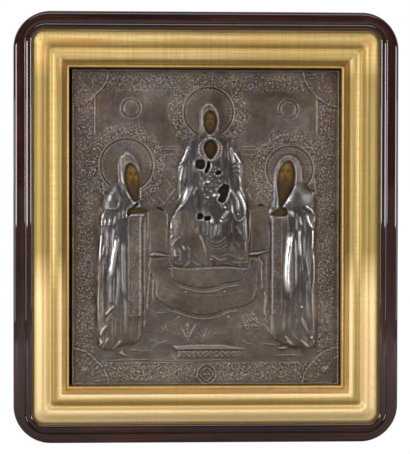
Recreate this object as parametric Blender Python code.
"""An icon panel: a painted board under a silver relief cover, in a gilt frame inside a dark case.

The case stands on its flat underside. The front faces -Y, the width is along X and +Z is up. The origin is
under the middle of the case. All sizes are in metres.
"""

import math

import bmesh
import bpy
import numpy as np
from mathutils import Vector
from mathutils.geometry import delaunay_2d_cdt

# Case
CASE_WIDTH = 0.371
CASE_HEIGHT = 0.415
CASE_DEPTH = 0.068
CASE_CORNER_RADIUS = 0.036
CASE_WALL = 0.012
CASE_EDGE_ROUND = 0.004
RIM_WIDTH = 0.018
RIM_CORNER_RADIUS = 0.011
RIM_THICKNESS = 0.0052
RIM_FACE_DROP = 0.0012
RIM_GROOVE_DROP = 0.0008
RIM_BEAD_WIDTH = 0.0056

# Gilt frame
GILT_WIDTH = 0.0352
GILT_BACK_DROP = 0.0383
GILT_GROOVE_AT = 0.0046
GILT_GROOVE_DROP = 0.0057
GILT_CREST_AT = 0.0098
GILT_CREST_DROP = 0.0048
GILT_VALLEY_AT = 0.0168
GILT_VALLEY_DROP = 0.0092
GILT_ROLL_AT = 0.0225
GILT_ROLL_DROP = 0.0076
GILT_SIGHT_DROP = 0.0173
GILT_BEAD_WIDTH = 0.0026
SIGHT_CORNER_RADIUS = 0.001

# Icon board, its silver cover and the board behind them
ICON_THICKNESS = 0.028
ICON_SLACK_WIDTH = 0.0036
ICON_SLACK_TOP = 0.0014
ICON_SHIFT = 0.0008
BACK_THICKNESS = 0.010
COVER_SHEET = 0.0012
FIT_GAP = 0.0003

# Relief of the cover: heights above its ground, and the widths of its bands
FIGURE_RISE = 0.0042
FIGURE_SHOULDER = 0.0016
FIGURE_DOME = 0.0022
CHILD_RISE = 0.0022
HALO_RISE = 0.0012
HALO_LINE_RISE = 0.0009
HALO_LINE_WIDTH = 0.0015
FOLD_RISE = 0.0012
FOLD_WIDTH = 0.0021
BAND_WIDTH = 0.0226
BAND_RISE = 0.0010
RIB_RISE = 0.0017
RIB_WIDTH = 0.0016
EDGE_ROLL = 0.0022
BOSS_PITCH = 0.0190
BOSS_RADIUS = 0.0062
BOSS_RISE = 0.0016
CORNER_FAN_RADIUS = 0.0345
CORNER_RAYS = 7
THRONE_RISE = 0.0022
CUSHION_RISE = 0.0030

# Fineness of the faceted solids
CASE_CORNER_STEPS = 8
GILT_CORNER_STEPS = 5
CURVE_STEPS = 4
GROUND_STEP = 0.0085
BORDER_STEP = 0.02
OPENING_MARGIN = 0.0009
MERGE_GAP = 0.00025

# The relief is drawn in units of a millimetre for a sheet of this size, and fits the sheet that the frame leaves
DRAWN_WIDTH = 0.2610
DRAWN_HEIGHT = 0.3069

FRONT = -CASE_DEPTH / 2
BACK = CASE_DEPTH / 2
CENTRE_HEIGHT = CASE_HEIGHT / 2
SIGHT_INSET = RIM_WIDTH + GILT_WIDTH
SIGHT_WIDTH = CASE_WIDTH - 2 * SIGHT_INSET
SIGHT_HEIGHT = CASE_HEIGHT - 2 * SIGHT_INSET
ICON_WIDTH = SIGHT_WIDTH - ICON_SLACK_WIDTH
ICON_HEIGHT = SIGHT_HEIGHT - ICON_SLACK_TOP - FIT_GAP
ICON_CENTRE_HEIGHT = CENTRE_HEIGHT - SIGHT_HEIGHT / 2 + FIT_GAP + ICON_HEIGHT / 2
HALF_W = ICON_WIDTH / 2
HALF_H = ICON_HEIGHT / 2
ICON_BACK = BACK - BACK_THICKNESS - FIT_GAP
ICON_FRONT = ICON_BACK - ICON_THICKNESS
UNIT = 0.001 * min(ICON_WIDTH / DRAWN_WIDTH, ICON_HEIGHT / DRAWN_HEIGHT)


def clear_scene():
    for item in list(bpy.data.objects):
        bpy.data.objects.remove(item, do_unlink=True)


def material(name, colour, roughness, metallic):
    made = bpy.data.materials.new(name)
    made.use_nodes = True
    shader = made.node_tree.nodes["Principled BSDF"]
    shader.inputs["Base Color"].default_value = (*colour, 1)
    shader.inputs["Roughness"].default_value = roughness
    shader.inputs["Metallic"].default_value = metallic
    made.diffuse_color = (*colour, 1)
    return made


def add_object(name, points, faces, finish, smooth_below=35):
    mesh = bpy.data.meshes.new(name)
    mesh.from_pydata([tuple(point) for point in points], [], faces)
    shape = bmesh.new()
    shape.from_mesh(mesh)
    bmesh.ops.recalc_face_normals(shape, faces=shape.faces)
    shape.to_mesh(mesh)
    shape.free()
    mesh.shade_smooth()
    mesh.set_sharp_from_angle(angle=math.radians(smooth_below))
    made = bpy.data.objects.new(name, mesh)
    made.data.materials.append(finish)
    bpy.context.scene.collection.objects.link(made)
    return made


def corner_radius(inset):
    """The corner's radius at a distance in from the case's outside: it tightens to the sharp sight edge."""
    if inset <= RIM_WIDTH:
        share = inset / RIM_WIDTH
        return CASE_CORNER_RADIUS + share * (RIM_CORNER_RADIUS - CASE_CORNER_RADIUS)
    share = min(1, (inset - RIM_WIDTH) / (0.75 * GILT_WIDTH))
    return RIM_CORNER_RADIUS + share * (SIGHT_CORNER_RADIUS - RIM_CORNER_RADIUS)


def rounded_rectangle(half_width, half_height, radius, steps):
    """Points anticlockwise from the right side's foot, with steps + 1 of them at each corner."""
    points = []
    for corner, (side_x, side_z) in enumerate(((1, 1), (-1, 1), (-1, -1), (1, -1))):
        for step in range(steps + 1):
            angle = math.pi / 2 * (corner + step / steps)
            x = side_x * (half_width - radius) + radius * math.cos(angle)
            z = side_z * (half_height - radius) + radius * math.sin(angle)
            points.append((x, z))
    return points


def moulded_ring(name, profile, steps, finish):
    """A frame: profile is a closed list of (distance in from the case's outside, depth from its front)."""
    points = []
    for inset, depth in profile:
        loop = rounded_rectangle(
            CASE_WIDTH / 2 - inset, CASE_HEIGHT / 2 - inset, corner_radius(inset), steps
        )
        points += [(x, FRONT + depth, CENTRE_HEIGHT + z) for x, z in loop]
    around = 4 * (steps + 1)
    faces = []
    for i in range(len(profile)):
        after = (i + 1) % len(profile)
        for k in range(around):
            other = (k + 1) % around
            faces.append((i * around + k, after * around + k, after * around + other, i * around + other))
    return add_object(name, points, faces, finish, 30)


def slab(name, half_width, half_height, radius, steps, front, back, middle, finish):
    """A flat board with rounded corners between two depths. middle is its centre as (x, z)."""
    loop = rounded_rectangle(half_width, half_height, radius, steps)
    around = len(loop)
    points = [(middle[0] + x, y, middle[1] + z) for y in (front, back) for x, z in loop]
    faces = [tuple(range(around)), tuple(reversed(range(around, 2 * around)))]
    for k in range(around):
        other = (k + 1) % around
        faces.append((k, k + around, other + around, other))
    return add_object(name, points, faces, finish)


def arc(centre, radius, start, end, steps):
    """(inset, depth) points on a circle, with angles in degrees from +inset towards -depth."""
    for step in range(steps + 1):
        angle = math.radians(start + (end - start) * step / steps)
        yield centre[0] + radius * math.cos(angle), centre[1] - radius * math.sin(angle)


def case_profile():
    """Back edge, outer side, rounded edge, flat face, groove, bead, rim and inner wall."""
    face = RIM_FACE_DROP
    bead_radius = RIM_BEAD_WIDTH / 2
    bead_start = RIM_WIDTH - RIM_BEAD_WIDTH
    profile = [(0, CASE_DEPTH)]
    profile += arc((CASE_EDGE_ROUND, face + CASE_EDGE_ROUND), CASE_EDGE_ROUND, 180, 90, 4)
    profile += [(bead_start - RIM_GROOVE_DROP, face), (bead_start, face + RIM_GROOVE_DROP)]
    profile += arc((RIM_WIDTH - bead_radius, bead_radius), bead_radius, 150, 0, 5)
    profile += [(RIM_WIDTH, RIM_THICKNESS), (CASE_WALL, RIM_THICKNESS), (CASE_WALL, CASE_DEPTH)]
    return profile


def gilt_profile():
    """Flange under the rim, edge fillet, groove, crest, valley, roll, slope to the sight, sight bead and back.

    Each drop is measured back from the case's front.
    """
    seat = RIM_THICKNESS + FIT_GAP
    start, sight = RIM_WIDTH, SIGHT_INSET
    bead = GILT_BEAD_WIDTH / 2
    profile = [(CASE_WALL + FIT_GAP, seat), (start + 0.0004, seat)]
    profile.append((start + GILT_GROOVE_AT / 2, seat - 0.0005))
    stations = (
        (GILT_GROOVE_AT, GILT_GROOVE_DROP),
        (GILT_CREST_AT, GILT_CREST_DROP),
        (GILT_VALLEY_AT, GILT_VALLEY_DROP),
        (GILT_ROLL_AT, GILT_ROLL_DROP),
    )
    bulges = (0.0003, 0.0008, -0.0001)
    for (across, drop), (next_across, next_drop), bulge in zip(stations, stations[1:], bulges):
        profile.append((start + across, drop))
        profile.append((start + (across + next_across) / 2, (drop + next_drop) / 2 - bulge))
    profile.append((start + GILT_ROLL_AT, GILT_ROLL_DROP))
    run = sight - GILT_BEAD_WIDTH - start - GILT_ROLL_AT
    for step in range(1, 5):
        share = step / 4
        drop = GILT_ROLL_DROP + (GILT_SIGHT_DROP - GILT_ROLL_DROP) * share**1.7
        profile.append((start + GILT_ROLL_AT + run * share, drop))
    profile += arc((sight - bead, GILT_SIGHT_DROP), bead, 150, 0, 4)
    profile += [(sight, GILT_BACK_DROP), (CASE_WALL + FIT_GAP, GILT_BACK_DROP)]
    return profile


def spline(points, closed=True, steps=CURVE_STEPS):
    """A smooth curve through the points, as an array. Each stretch between two of them gets steps points."""
    given = np.array(points, float)
    count = len(given)
    stretches = count if closed else count - 1
    made = []
    for i in range(stretches):
        if closed:
            p = [given[(i + k) % count] for k in (-1, 0, 1, 2)]
        else:
            p = [given[min(max(i + k, 0), count - 1)] for k in (-1, 0, 1, 2)]
        for step in range(steps):
            t = step / steps
            made.append(
                0.5
                * (
                    2 * p[1]
                    + (p[2] - p[0]) * t
                    + (2 * p[0] - 5 * p[1] + 4 * p[2] - p[3]) * t**2
                    + (3 * p[1] - p[0] - 3 * p[2] + p[3]) * t**3
                )
            )
    if not closed:
        made.append(given[-1])
    return np.array(made)


def distance_to(curve, points, closed):
    """How far each point is from the curve, and where along it the nearest place is, from 0 to 1."""
    ends = np.roll(curve, -1, axis=0) if closed else curve[1:]
    starts = curve if closed else curve[:-1]
    along = ends - starts
    length = np.maximum((along**2).sum(1), 1e-16)
    t = ((points[:, None] - starts[None]) * along[None]).sum(2) / length
    t = np.clip(t, 0, 1)
    gap = points[:, None] - (starts[None] + t[..., None] * along[None])
    gap = np.sqrt((gap**2).sum(2))
    nearest = gap.argmin(1)
    rows = np.arange(len(points))
    return gap[rows, nearest], (nearest + t[rows, nearest]) / len(starts)


def inside(curve, points):
    """True for the points within a closed curve."""
    x, z = points[:, 0:1], points[:, 1:2]
    a, b = curve, np.roll(curve, -1, axis=0)
    crosses = (a[None, :, 1] > z) != (b[None, :, 1] > z)
    height = np.where(b[:, 1] == a[:, 1], 1e-12, b[:, 1] - a[:, 1])
    at = a[None, :, 0] + (z - a[None, :, 1]) * ((b[:, 0] - a[:, 0]) / height)[None]
    return (crosses & (x < at)).sum(1) % 2 == 1


def smooth_step(share):
    share = np.clip(share, 0, 1)
    return share * share * (3 - 2 * share)


def circle(centre, radius, steps, squash=1.0):
    angles = np.arange(steps) * 2 * math.pi / steps
    return np.stack(
        [centre[0] + radius * np.cos(angles), centre[1] + squash * radius * np.sin(angles)], 1
    )


def drawn(*points):
    """Points given in the drawing's units from the cover's middle, in metres."""
    return np.array(points, float) * UNIT


# The figures' outlines in the drawing's units from the cover's middle: x to the right, z up.
MOTHER_OUTLINE = spline(
    drawn(
        (3.7, 127.2), (-5.9, 121.4), (-8.4, 108), (-9.5, 98), (-18.2, 90.3), (-22.8, 80.9),
        (-24.7, 66.5), (-27.6, 45.3), (-31.9, 23.1), (-33.4, 3.9), (-30.5, -16.4), (-20.9, -31.8),
        (-9.3, -39), (8, -36.5), (25.4, -38.5), (41.8, -33.7), (44.2, -15.4), (45, 3.9),
        (42.2, 15.5), (37.4, 37.6), (36, 54.9), (32.1, 71.3), (28.3, 80.9), (19.6, 90.1),
        (16.2, 98), (15.2, 110), (12.9, 121.4),
    ),
    steps=2,
)
CHILD_OUTLINE = spline(
    drawn(
        (4.8, 91), (-3.5, 86.5), (-5.5, 77), (-2.5, 68), (-9, 58), (-11, 42), (-12.5, 26), (-8.5, 10),
        (2, 7.5), (9.5, 12), (14, 24), (14.5, 40), (18, 54), (12.5, 66.5), (15, 77), (13, 86.5),
    ),
    steps=2,
)
LEFT_MONK_OUTLINE = spline(
    drawn(
        (-73.5, 74.2), (-82, 68), (-84, 52), (-93.5, 42.4), (-99.5, 32), (-102.8, 15), (-103.5, -30),
        (-103, -97), (-100, -113), (-86, -118.5), (-72, -117), (-60.5, -110), (-60.3, -68), (-61, -20),
        (-56, 4), (-54, 14), (-58.5, 24), (-61, 40), (-61.5, 56), (-65.5, 69),
    ),
    steps=2,
)
RIGHT_MONK_OUTLINE = spline(
    drawn(
        (79.9, 72.3), (69.5, 66.5), (66, 50), (66, 33), (60, 23.1), (57.2, 14), (62, 2), (63.4, -30),
        (63, -83), (62.4, -111), (76.5, -118.5), (90.9, -117.6), (105.6, -111.8), (106, -68),
        (105.8, -10), (105.6, 13), (103.4, 30), (97.8, 42), (93.2, 50), (92.9, 61), (88.8, 68.8),
    ),
    steps=2,
)

# Openings in the sheet: a face is an oval that narrows to the chin, hands and feet are smaller ovals.
FACES = {
    "mother": ((4.4, 103.2), 6.4, 10.9, 0.22, 0),
    "child": ((4.8, 77.6), 6.0, 8.0, 0.12, 0),
    "left": ((-69.4, 46), 8.6, 17.2, 0.42, -9),
    "right": ((79.2, 51.5), 9.2, 15.4, 0.30, 10),
}
HANDS = (
    ((-5, 62.4), 3.7, 3.7, 0),
    ((17.4, 34.6), 3.6, 8.6, 14),
    ((-5.6, 12.1), 2.7, 2.0, 0),
    ((2, 11.4), 2.9, 2.0, 0),
    ((-65.8, 17.2), 9.0, 3.4, 0),
    ((71.3, 17.2), 7.4, 4.4, 0),
)


def face_outline(centre, half_width, half_height, narrowing, tilt, steps=16):
    """An oval whose lower half draws in towards the chin, turned by tilt degrees."""
    angles = np.arange(steps) * 2 * math.pi / steps
    x, z = np.cos(angles), np.sin(angles)
    x = x * (1 + narrowing * np.minimum(z, 0))
    turn = math.radians(tilt)
    x, z = half_width * x, half_height * z
    turned = np.stack([x * math.cos(turn) - z * math.sin(turn), x * math.sin(turn) + z * math.cos(turn)], 1)
    return (turned + np.array(centre)) * UNIT


def opening_outlines():
    """Every cut-out in the sheet."""
    for values in FACES.values():
        yield face_outline(*values)
    for centre, half_width, half_height, tilt in HANDS:
        yield face_outline(centre, half_width, half_height, 0, tilt, 10)


HALOS = (
    ((3.7 * UNIT, 112.5 * UNIT), 22.6 * UNIT, 37.6 * UNIT),
    ((-76.3 * UNIT, 59 * UNIT), 26.3 * UNIT, 38.5 * UNIT),
    ((81 * UNIT, 56 * UNIT), 23.1 * UNIT, 35.7 * UNIT),
)
CHILD_HALO = ((4.8 * UNIT, 79 * UNIT), 13.2 * UNIT)
HALO_PETALS = 18
MEDALLIONS = ((-72 * UNIT, 116 * UNIT), (80 * UNIT, 115 * UNIT))
MEDALLION_RADIUS = 8.7 * UNIT


def fan(top_from, top_to, foot_from, foot_to, count, sway):
    """Folds that hang from one line to another. sway bows them sideways, in millimetres."""
    folds = []
    for i in range(count):
        share = (i + 0.5) / count
        top = np.array(top_from) + share * (np.array(top_to) - np.array(top_from))
        foot = np.array(foot_from) + share * (np.array(foot_to) - np.array(foot_from))
        middle = (top + foot) / 2 + np.array((sway * (1 - 2 * share), 0))
        folds.append(spline(drawn(top, middle, foot), closed=False, steps=3))
    return folds


def swags(centre, width, drop, first, pitch, count):
    """Nested hanging folds between the knees, each lower and a little wider than the last."""
    folds = []
    for i in range(count):
        half = width * (0.55 + 0.45 * i / count)
        level = first - pitch * i
        ends = (centre - half, level + drop), (centre, level), (centre + half, level + drop)
        folds.append(spline(drawn(*ends), closed=False, steps=3))
    return folds


def all_folds():
    """The drapery's ridges: veil, sleeves, lap and hems of the mother, then both monks' mantles."""
    folds = fan((-20, 84), (-12, 70), (-28, 12), (-14, 14), 3, -2)
    folds += fan((24, 82), (31, 66), (22, 8), (38, 16), 3, 3)
    folds += fan((-12, 4), (18, 4), (-16, -30), (2, -33), 4, 0)
    folds += swags(12, 14, 7, -12, 7, 3)
    folds += fan((26, 2), (40, 2), (28, -34), (40, -30), 2, 1)
    folds += fan((-27, 8), (-20, 4), (-27, -14), (-15, -30), 2, -2)
    folds += fan((-8, 56), (14, 56), (-9, 18), (12, 16), 4, 1)
    folds += fan((-98, 26), (-70, 4), (-100, -108), (-66, -110), 6, -3)
    folds += swags(-80, 11, 6, 20, 8, 2)
    folds += fan((68, 4), (101, 26), (66, -110), (102, -108), 6, 3)
    folds += swags(86, 11, 6, 20, 8, 2)
    return folds


def half_moon(centre_x, top, side, half_width, drop, steps=13):
    """A seat or cushion seen from the front: straight sides from top over a hanging, slightly waved edge."""
    angles = np.linspace(math.pi, 2 * math.pi, steps)
    x = centre_x + half_width * np.cos(angles)
    wave = 1 + 0.07 * np.cos(4 * angles)
    z = top - side + drop * np.sin(angles) * wave
    corners = [(centre_x + half_width, top), (centre_x - half_width, top)]
    return np.concatenate([np.stack([x, z], 1), corners]) * UNIT


def box_outline(left, right, low, high):
    return drawn((left, low), (right, low), (right, high), (left, high))


def throne_parts():
    """(outline, rise) of the throne's panels, posts, arms, seat, step and footstool."""
    for side in (-1, 1):
        near, far = sorted((0.5 + side * 38, 0.5 + side * 56))
        yield box_outline(near, far, -22, 20), THRONE_RISE
        near, far = sorted((0.5 + side * 34, 0.5 + side * 59))
        yield box_outline(near, far, -27, -22), 1.9 * THRONE_RISE
        near, far = sorted((0.5 + side * 55, 0.5 + side * 61))
        yield box_outline(near, far, -100, 15), 0.6 * THRONE_RISE
    yield half_moon(0.5, -27, 37, 48.5, 20), 0.9 * THRONE_RISE
    yield half_moon(1.5, -40, 2, 37.5, 16), CUSHION_RISE
    yield box_outline(-30, 40, -118, -112), THRONE_RISE


THRONE = list(throne_parts())
FOLDS = all_folds()
OPENINGS = list(opening_outlines())


def raised(ground, points, outline, rise, shoulder):
    """Lifts the ground inside an outline: a rounded shoulder, then level."""
    within = inside(outline, points)
    if not within.any():
        return ground
    lifted = ground.copy()
    depth, _ = distance_to(outline, points[within], True)
    lift = rise * np.sqrt(smooth_step(depth / shoulder))
    lifted[within] = np.maximum(ground[within], lift)
    return lifted


def bosses():
    """Centres of the ornament's bosses along the four border bands, clear of the corners."""
    middle = BAND_WIDTH / 2 + 0.0008
    for half_length, half_other, upright in ((HALF_H, HALF_W, True), (HALF_W, HALF_H, False)):
        run = 2 * (half_length - CORNER_FAN_RADIUS - BOSS_RADIUS)
        count = max(1, round(run / BOSS_PITCH))
        for i in range(count + 1):
            along = -run / 2 + run * i / count
            for side in (-1, 1):
                across = side * (half_other - middle)
                yield (across, along) if upright else (along, across)


BOSSES = list(bosses())


def corner_centres():
    return [(sx * HALF_W, sz * HALF_H) for sx in (-1, 1) for sz in (-1, 1)]


def relief(points):
    """Height of the sheet over its ground at each (x, z)."""
    x, z = points[:, 0], points[:, 1]
    height = np.zeros(len(points))
    edge = np.minimum(HALF_W - abs(x), HALF_H - abs(z))
    height = np.where(edge < EDGE_ROLL, RIB_RISE * np.sin(math.pi * edge / EDGE_ROLL), height)
    in_band = smooth_step((BAND_WIDTH - edge) / 0.0012)
    height += np.where(edge >= EDGE_ROLL, BAND_RISE * in_band, 0)
    rib = abs(edge - BAND_WIDTH) / RIB_WIDTH
    height = np.maximum(height, RIB_RISE * (1 - smooth_step(rib)))
    for centre in BOSSES:
        gap = np.hypot(x - centre[0], z - centre[1]) / BOSS_RADIUS
        height = np.maximum(height, BAND_RISE + BOSS_RISE * (1 - smooth_step(gap)) * (gap < 1))
    for centre in corner_centres():
        gap = np.hypot(x - centre[0], z - centre[1])
        turn = np.arctan2(abs(z - centre[1]), abs(x - centre[0])) * 2 / math.pi
        ray = 0.5 - 0.5 * np.cos(2 * math.pi * CORNER_RAYS * turn)
        fan_part = (gap < CORNER_FAN_RADIUS) & (edge > EDGE_ROLL)
        height = np.where(fan_part, BAND_RISE + 0.8 * BOSS_RISE * ray * gap / CORNER_FAN_RADIUS, height)
        line = abs(gap - CORNER_FAN_RADIUS) / RIB_WIDTH
        on_line = (line < 1) & (edge > EDGE_ROLL)
        height = np.where(on_line, np.maximum(height, 1.3 * RIB_RISE * (1 - line**2)), height)
    for outline, rise in THRONE:
        height = raised(height, points, outline, rise, FIGURE_SHOULDER)
    for centre, ring, outer in HALOS:
        gap = np.hypot(x - centre[0], z - centre[1])
        turn = np.arctan2(z - centre[1], x - centre[0])
        petal = 0.5 + 0.5 * np.cos(HALO_PETALS * turn)
        plate = HALO_RISE * smooth_step((outer - gap) / 0.0014)
        on_petal = (gap > ring) & (gap < outer)
        plate += np.where(on_petal, 0.0008 * petal * np.sin(math.pi * (gap - ring) / (outer - ring)), 0)
        for line_at in (ring, outer - HALO_LINE_WIDTH):
            plate += HALO_LINE_RISE * (1 - smooth_step(abs(gap - line_at) / HALO_LINE_WIDTH))
        height = np.where(gap < outer, np.maximum(plate, HALO_RISE * 0.5), height)
    for centre in MEDALLIONS:
        gap = np.hypot(x - centre[0], z - centre[1]) / MEDALLION_RADIUS
        dome = BOSS_RISE * 1.6 * np.sqrt(np.clip(1 - (gap / 0.72) ** 2, 0, 1))
        rim = RIB_RISE * (1 - smooth_step(abs(gap - 0.92) / 0.16))
        height = np.where(gap < 1.1, np.maximum(height, np.maximum(dome, rim)), height)
    robes = np.zeros(len(points), bool)
    for outline in (LEFT_MONK_OUTLINE, RIGHT_MONK_OUTLINE, MOTHER_OUTLINE):
        height = body(height, points, outline, FIGURE_RISE, FIGURE_DOME)
        robes |= inside(outline, points)
    centre, radius = CHILD_HALO
    gap = np.hypot(x - centre[0], z - centre[1])
    disc = FIGURE_RISE + CHILD_RISE * 0.7 + HALO_LINE_RISE * (1 - smooth_step(abs(gap - radius) / HALO_LINE_WIDTH))
    height = np.where(gap < radius + 0.5 * HALO_LINE_WIDTH, np.maximum(height, disc), height)
    height = body(height, points, CHILD_OUTLINE, FIGURE_RISE + FIGURE_DOME + 0.2 * CHILD_RISE, 0.8 * CHILD_RISE)
    for fold in FOLDS:
        height = height + fold_lift(points, fold, robes)
    return height


def body(ground, points, outline, rise, dome):
    """A figure: a rounded shoulder along its outline and a swell towards its middle."""
    within = inside(outline, points)
    lifted = ground.copy()
    if not within.any():
        return lifted
    depth, _ = distance_to(outline, points[within], True)
    swell = rise * np.sqrt(smooth_step(depth / FIGURE_SHOULDER)) + dome * (1 - np.exp(-depth / (7 * UNIT)))
    lifted[within] = np.maximum(ground[within], swell)
    return lifted


def fold_lift(points, fold, robes):
    """A rounded ridge along a fold that fades at both ends."""
    lift = np.zeros(len(points))
    low, high = fold.min(0) - 2 * FOLD_WIDTH, fold.max(0) + 2 * FOLD_WIDTH
    near = robes & ((points > low) & (points < high)).all(1)
    if near.any():
        gap, share = distance_to(fold, points[near], False)
        ends = smooth_step(share * 8) * smooth_step((1 - share) * 8)
        lift[near] = FOLD_RISE * ends * (1 - smooth_step(gap / FOLD_WIDTH))
    return lift


class Layout:
    """Points and lines that the cover's facets follow."""

    def __init__(self):
        self.points = []
        self.lines = []

    def add(self, curve, closed):
        """Joins the points that lie on the sheet and clear of every opening by straight facets' edges."""
        curve = np.asarray(curve, float)
        kept = clear_of_openings(curve, OPENING_MARGIN)
        index = {}
        for i in np.nonzero(kept)[0]:
            index[i] = len(self.points)
            self.points.append(tuple(curve[i]))
        for i in range(len(curve) if closed else len(curve) - 1):
            other = (i + 1) % len(curve)
            if i in index and other in index:
                self.lines.append((index[i], index[other]))

    def add_exact(self, curve):
        first = len(self.points)
        self.points += [tuple(point) for point in curve]
        count = len(curve)
        self.lines += [(first + i, first + (i + 1) % count) for i in range(count)]


def clear_of_openings(points, margin):
    clear = (abs(points[:, 0]) < HALF_W - 0.0002) & (abs(points[:, 1]) < HALF_H - 0.0002)
    for outline in OPENINGS:
        gap, _ = distance_to(outline, points, True)
        clear &= ~inside(outline, points) & (gap > margin)
    return clear


def inset_outline(outline, amount):
    """The outline moved inwards by amount."""
    ahead = np.roll(outline, -1, axis=0) - np.roll(outline, 1, axis=0)
    ahead /= np.maximum(np.linalg.norm(ahead, axis=1), 1e-9)[:, None]
    inward = np.stack([-ahead[:, 1], ahead[:, 0]], 1)
    area = (outline[:, 0] * np.roll(outline[:, 1], -1) - np.roll(outline[:, 0], -1) * outline[:, 1]).sum()
    return outline + math.copysign(amount, area) * inward


def offset_open(curve, amount):
    ahead = np.gradient(curve, axis=0)
    ahead /= np.maximum(np.linalg.norm(ahead, axis=1), 1e-9)[:, None]
    return curve + amount * np.stack([-ahead[:, 1], ahead[:, 0]], 1)


def in_any_robe(points):
    within = np.zeros(len(points), bool)
    for outline in (LEFT_MONK_OUTLINE, RIGHT_MONK_OUTLINE, MOTHER_OUTLINE):
        within |= inside(outline, points)
    return within


def cover_layout():
    """Lines along every edge of the relief, then a loose grid over what is left."""
    layout = Layout()
    across, up = round(ICON_WIDTH / BORDER_STEP), round(ICON_HEIGHT / BORDER_STEP)
    sides = [(-HALF_W + ICON_WIDTH * i / across, -HALF_H) for i in range(across)]
    sides += [(HALF_W, -HALF_H + ICON_HEIGHT * i / up) for i in range(up)]
    sides += [(HALF_W - ICON_WIDTH * i / across, HALF_H) for i in range(across)]
    sides += [(-HALF_W, HALF_H - ICON_HEIGHT * i / up) for i in range(up)]
    border = np.array(sides)
    layout.add_exact(border)
    for outline in OPENINGS:
        layout.add_exact(outline)
    for inset in (EDGE_ROLL / 2, EDGE_ROLL, BAND_WIDTH - RIB_WIDTH, BAND_WIDTH, BAND_WIDTH + RIB_WIDTH):
        scale = np.array([(HALF_W - inset) / HALF_W, (HALF_H - inset) / HALF_H])
        line = border * scale
        away = np.ones(len(line), bool)
        if inset > EDGE_ROLL:
            for centre in corner_centres():
                away &= np.hypot(*(line - centre).T) > CORNER_FAN_RADIUS
        for centre, _, outer in HALOS:
            away &= np.hypot(*(line - centre).T) > outer
        for k in range(len(line)):
            other = (k + 1) % len(line)
            if away[k] and away[other]:
                layout.add(line[[k, other]], False)
    for centre in BOSSES:
        layout.add([centre], False)
        layout.add(circle(centre, BOSS_RADIUS, 6), True)
    for centre in corner_centres():
        inward_x, inward_z = -math.copysign(1, centre[0]), -math.copysign(1, centre[1])
        for radius in (CORNER_FAN_RADIUS - RIB_WIDTH, CORNER_FAN_RADIUS, CORNER_FAN_RADIUS + RIB_WIDTH):
            steps = 2 * CORNER_RAYS
            angles = (np.arange(steps + 1)) * math.pi / 2 / steps
            curve = np.stack(
                [centre[0] + inward_x * radius * np.cos(angles), centre[1] + inward_z * radius * np.sin(angles)], 1
            )
            keep = (abs(curve[:, 0]) < HALF_W - EDGE_ROLL) & (abs(curve[:, 1]) < HALF_H - EDGE_ROLL)
            layout.add(curve[keep], False)
    halo_steps = 2 * HALO_PETALS
    for centre, ring, outer in HALOS:
        rings = (ring - HALO_LINE_WIDTH, ring, ring + HALO_LINE_WIDTH, (ring + outer) / 2)
        rings += (outer - 2 * HALO_LINE_WIDTH, outer - HALO_LINE_WIDTH / 2, outer)
        for radius in rings:
            curve = circle(centre, radius, halo_steps)
            away = ~in_any_robe(curve)
            away &= np.hypot(*(curve - HALOS[0][0]).T) > (0 if centre == HALOS[0][0] else HALOS[0][2])
            for k in range(len(curve)):
                other = (k + 1) % len(curve)
                if away[k] and away[other]:
                    layout.add(curve[[k, other]], False)
    centre, radius = CHILD_HALO
    layout.add(circle(centre, radius, 20), True)
    layout.add(circle(centre, radius + HALO_LINE_WIDTH, 20), True)
    for centre in MEDALLIONS:
        layout.add([centre], False)
        for share in (0.45, 0.72, 0.92, 1.1):
            layout.add(circle(centre, MEDALLION_RADIUS * share, 10), True)
    for outline, _ in THRONE:
        layout.add(outline, True)
        layout.add(inset_outline(outline, FIGURE_SHOULDER), True)
    for outline in (LEFT_MONK_OUTLINE, RIGHT_MONK_OUTLINE, MOTHER_OUTLINE, CHILD_OUTLINE):
        layout.add(outline, True)
        layout.add(inset_outline(outline, FIGURE_SHOULDER * 0.45), True)
        layout.add(inset_outline(outline, FIGURE_SHOULDER), True)
    for fold in FOLDS:
        layout.add(fold, False)
        for side in (-FOLD_WIDTH, FOLD_WIDTH):
            layout.add(offset_open(fold, side), False)
    add_ground(layout)
    return layout


def add_ground(layout):
    """A loose grid of points, staggered by rows, that stay clear of the lines."""
    taken = np.array(layout.points)
    columns = round(ICON_WIDTH / GROUND_STEP)
    rows = round(ICON_HEIGHT / GROUND_STEP)
    spots = []
    for row in range(1, rows):
        shift = 0.25 if row % 2 else -0.25
        for column in range(1, columns):
            x = -HALF_W + ICON_WIDTH * (column + shift) / columns
            spots.append((x, -HALF_H + ICON_HEIGHT * row / rows))
    spots = np.array(spots)
    gap = np.sqrt(((spots[:, None] - taken[None]) ** 2).sum(2)).min(1)
    spots = spots[(gap > 0.35 * GROUND_STEP) & clear_of_openings(spots, 0.002)]
    layout.points += [tuple(spot) for spot in spots]


def on_sheet(points):
    """True where the sheet has metal: inside its rectangle and outside the openings."""
    metal = (abs(points[:, 0]) < HALF_W) & (abs(points[:, 1]) < HALF_H)
    for outline in OPENINGS:
        metal &= ~inside(outline, points)
    return metal


def triangulated(points, lines, closeness):
    """(points, triangles) of the sheet's plan, with the given lines kept as edges."""
    found = delaunay_2d_cdt([Vector(point) for point in points], lines, [], 0, closeness)
    plan = np.array([tuple(point) for point in found[0]])
    triangles = np.array([tuple(face) for face in found[2]])
    return plan, triangles[on_sheet(plan[triangles].mean(1))]


def boundary_edges(triangles):
    """Edges that only one triangle has, in that triangle's direction."""
    directed = {}
    for triangle in triangles:
        for k in range(3):
            directed[(int(triangle[k]), int(triangle[(k + 1) % 3]))] = True
    return [edge for edge in directed if (edge[1], edge[0]) not in directed]


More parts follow.
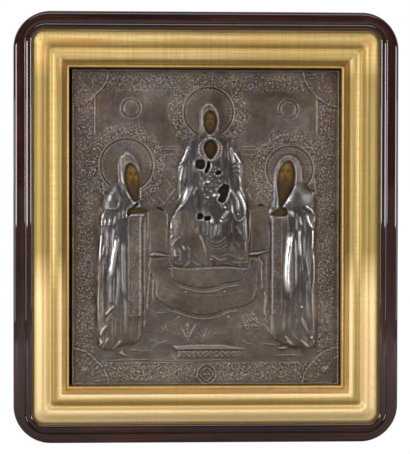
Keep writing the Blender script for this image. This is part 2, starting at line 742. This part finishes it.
def silver_cover(finish):
    """The relief sheet: a faceted front, a flat back and walls around its edge and its openings."""
    layout = cover_layout()
    plan, triangles = triangulated(layout.points, layout.lines, MERGE_GAP)
    back_y = ICON_FRONT - FIT_GAP
    height = np.maximum(relief(plan), -0.3 * COVER_SHEET)
    edges = boundary_edges(triangles)
    rim = sorted({k for edge in edges for k in edge})
    height[rim] = np.minimum(height[rim], FIGURE_RISE)
    points = [(ICON_SHIFT + x, back_y - COVER_SHEET - h, ICON_CENTRE_HEIGHT + z) for (x, z), h in zip(plan, height)]
    faces = [tuple(int(k) for k in triangle) for triangle in triangles]
    place = {k: i for i, k in enumerate(rim)}
    first = len(points)
    points += [(ICON_SHIFT + plan[k][0], back_y, ICON_CENTRE_HEIGHT + plan[k][1]) for k in rim]
    for a, b in edges:
        faces.append((b, a, first + place[a], first + place[b]))
    _, under = triangulated([plan[k] for k in rim], [(place[a], place[b]) for a, b in edges], 1e-9)
    faces += [tuple(first + int(k) for k in reversed(triangle)) for triangle in under]
    return add_object("silver_cover", points, faces, finish, 40)


def icon_board(finish):
    middle = (ICON_SHIFT, ICON_CENTRE_HEIGHT)
    return slab("icon_board", HALF_W, HALF_H, SIGHT_CORNER_RADIUS, 2, ICON_FRONT, ICON_BACK, middle, finish)


def back_board(finish):
    inset = CASE_WALL + FIT_GAP
    half_width, half_height = CASE_WIDTH / 2 - inset, CASE_HEIGHT / 2 - inset
    middle = (0, CENTRE_HEIGHT)
    radius = corner_radius(inset)
    start = BACK - BACK_THICKNESS
    return slab("back_board", half_width, half_height, radius, CASE_CORNER_STEPS, start, BACK, middle, finish)


def main():
    clear_scene()
    moulded_ring("case_frame", case_profile(), CASE_CORNER_STEPS, material("mahogany", (0.035, 0.012, 0.008), 0.12, 0))
    moulded_ring("gilt_frame", gilt_profile(), GILT_CORNER_STEPS, material("gilding", (0.72, 0.47, 0.16), 0.32, 1))
    silver_cover(material("tarnished_silver", (0.16, 0.13, 0.11), 0.35, 1))
    icon_board(material("painted_board", (0.13, 0.065, 0.015), 0.5, 0))
    back_board(material("plain_board", (0.16, 0.09, 0.045), 0.7, 0))


main()
